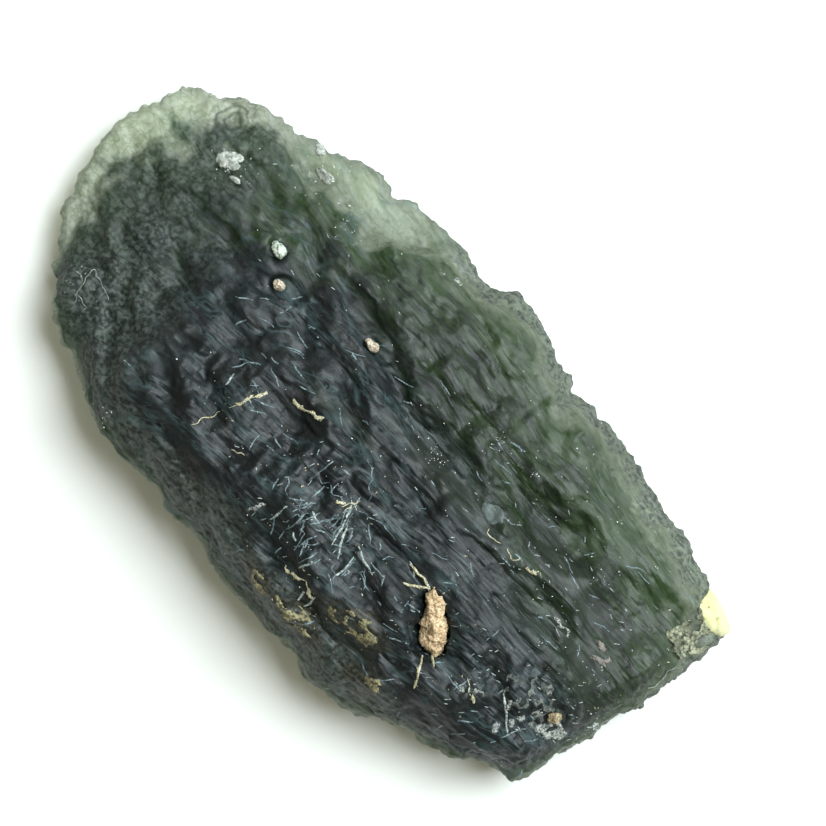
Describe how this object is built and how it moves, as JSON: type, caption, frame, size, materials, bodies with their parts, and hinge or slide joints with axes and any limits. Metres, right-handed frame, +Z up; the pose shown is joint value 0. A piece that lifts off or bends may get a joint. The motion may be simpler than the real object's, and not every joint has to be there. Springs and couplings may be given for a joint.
{
  "type": "moldavite",
  "caption": "Raw wedge of green natural glass with an etched, grooved skin, a thin clear edge and a broken end, with clay and sand grains lodged in its grooves.",
  "frame": {"origin": "middle of the stone's box in plan, on the surface that it rests on", "axes": "+X along the stone's length, towards its broken end; +Y across it, towards its thin clear edge; +Z up"},
  "size_m": [0.042, 0.022, 0.0087],
  "materials": {
    "etched_green_glass": "etched, satin to glossy, translucent",
    "dried_clay": "matt, earthy",
    "milky_quartz": "rough, half clear",
    "ochre_sand": "matt, grainy",
    "rusty_sand": "matt, grainy"
  },
  "bodies": {
    "root": {"moldavite_glass": "etched_green_glass", "clay_crumb": "dried_clay", "quartz_chip": "milky_quartz", "ochre_grain": "ochre_sand", "ring_grain": "ochre_sand", "rust_pebble": "rusty_sand"}
  },
  "joints": []
}
